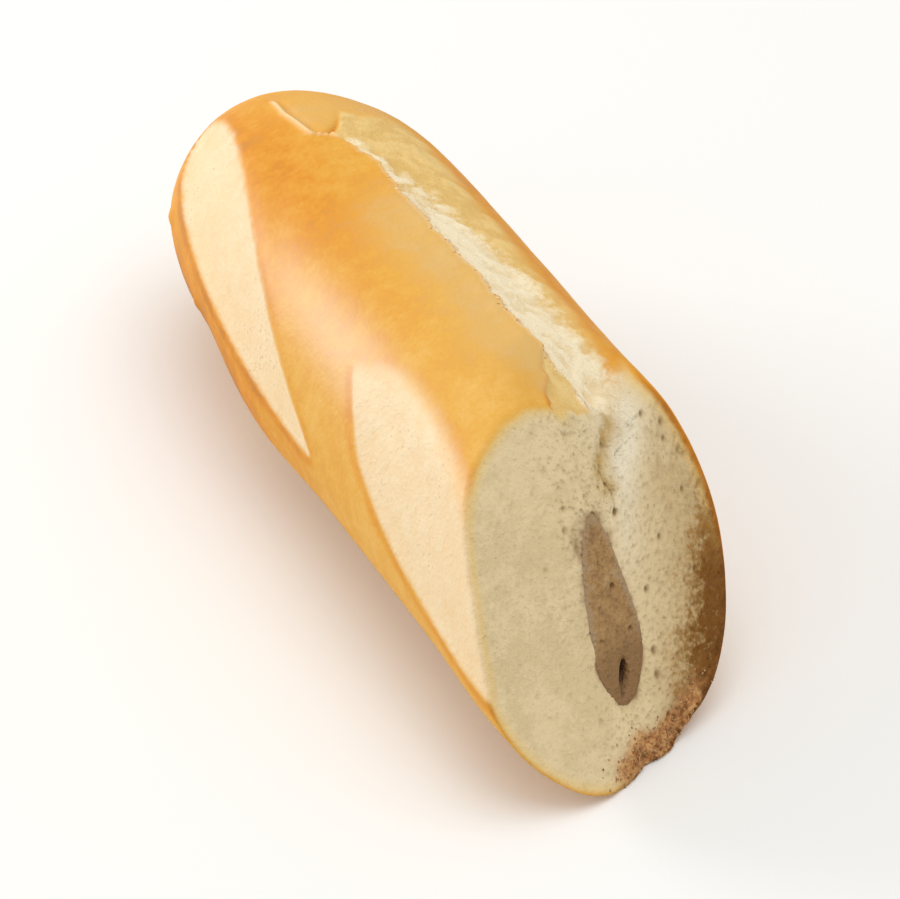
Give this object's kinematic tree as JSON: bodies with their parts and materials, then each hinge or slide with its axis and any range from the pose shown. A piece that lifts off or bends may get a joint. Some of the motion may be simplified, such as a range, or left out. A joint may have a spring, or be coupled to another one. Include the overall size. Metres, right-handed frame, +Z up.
{
  "type": "pate bread stick half",
  "caption": "Half of a slim golden bread stick, cut on the slant, lying on its flank, with slashed crust, a torn side seam and a pate filling showing in the pale crumb.",
  "frame": {"origin": "middle of the underside of the loaf's box, on the surface that it lies on", "axes": "+X along the loaf from the rounded end to the cut, +Z up as it lies, -Y the side that the slashed top faces"},
  "size_m": [0.1188, 0.04, 0.0391],
  "materials": {
    "crust": "satin golden crust, pale in the slashes and along the torn seam",
    "filling": "moist brown-grey paste"
  },
  "bodies": {
    "root": {"bread": "crust", "pate": "filling"}
  },
  "joints": []
}
